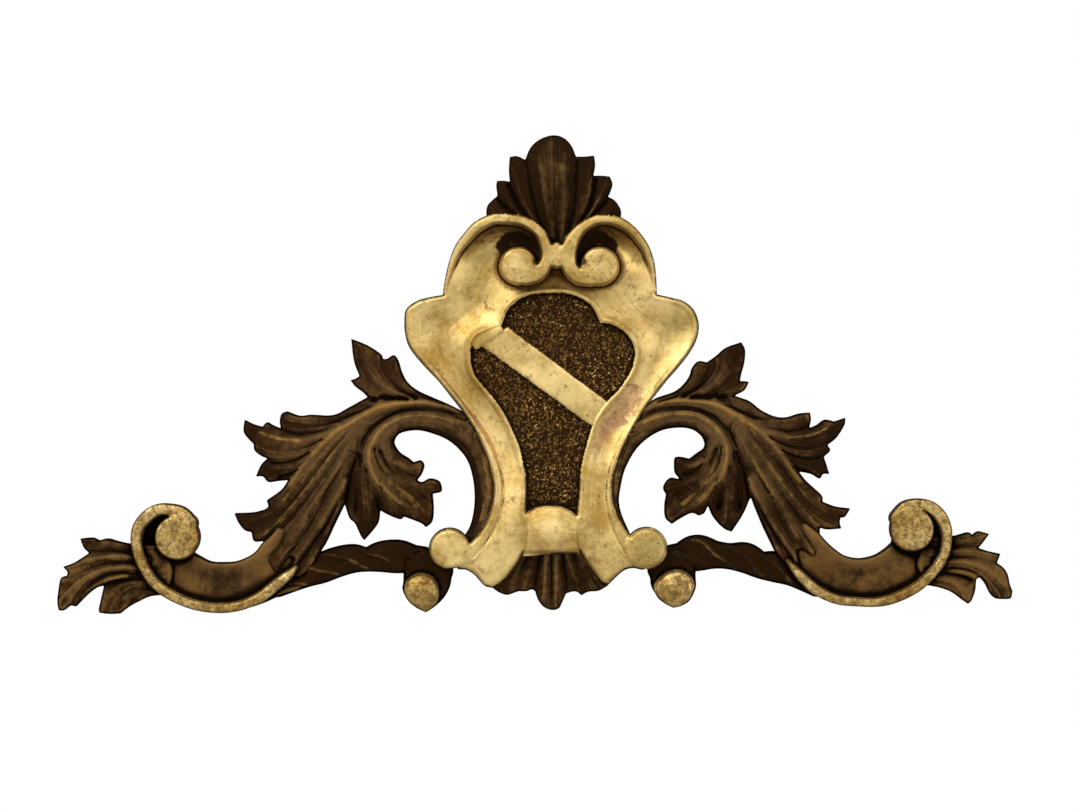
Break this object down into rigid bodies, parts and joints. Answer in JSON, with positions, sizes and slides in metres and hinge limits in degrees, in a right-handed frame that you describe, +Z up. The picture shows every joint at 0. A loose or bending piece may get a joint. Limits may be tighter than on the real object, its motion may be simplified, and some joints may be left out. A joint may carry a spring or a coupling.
{
  "type": "broken scroll pediment",
  "caption": "Carved cresting with a scrolled, gilded cartouche between two dark acanthus wings that end in volutes, made to be fixed by its flat back.",
  "frame": {"origin": "on the cartouche's flat back, on its centre line, 235 mm above the base line of the feet", "axes": "+Z up, +X along the width to the viewer's right, +Y out of the flat back, so the carved front faces -Y"},
  "size_m": [1.0551, 0.06, 0.5246],
  "materials": {
    "gilded_wood": "water gilding over red bole on carved wood, burnished, rubbed and darkened in the hollows",
    "dark_wood": "dark brown stained carving with worn ochre ridges, gilded on its volute fillets, eyes and ball feet"
  },
  "bodies": {
    "root": {"cartouche": "gilded_wood", "left_wing": "dark_wood", "right_wing": "dark_wood"}
  },
  "joints": []
}
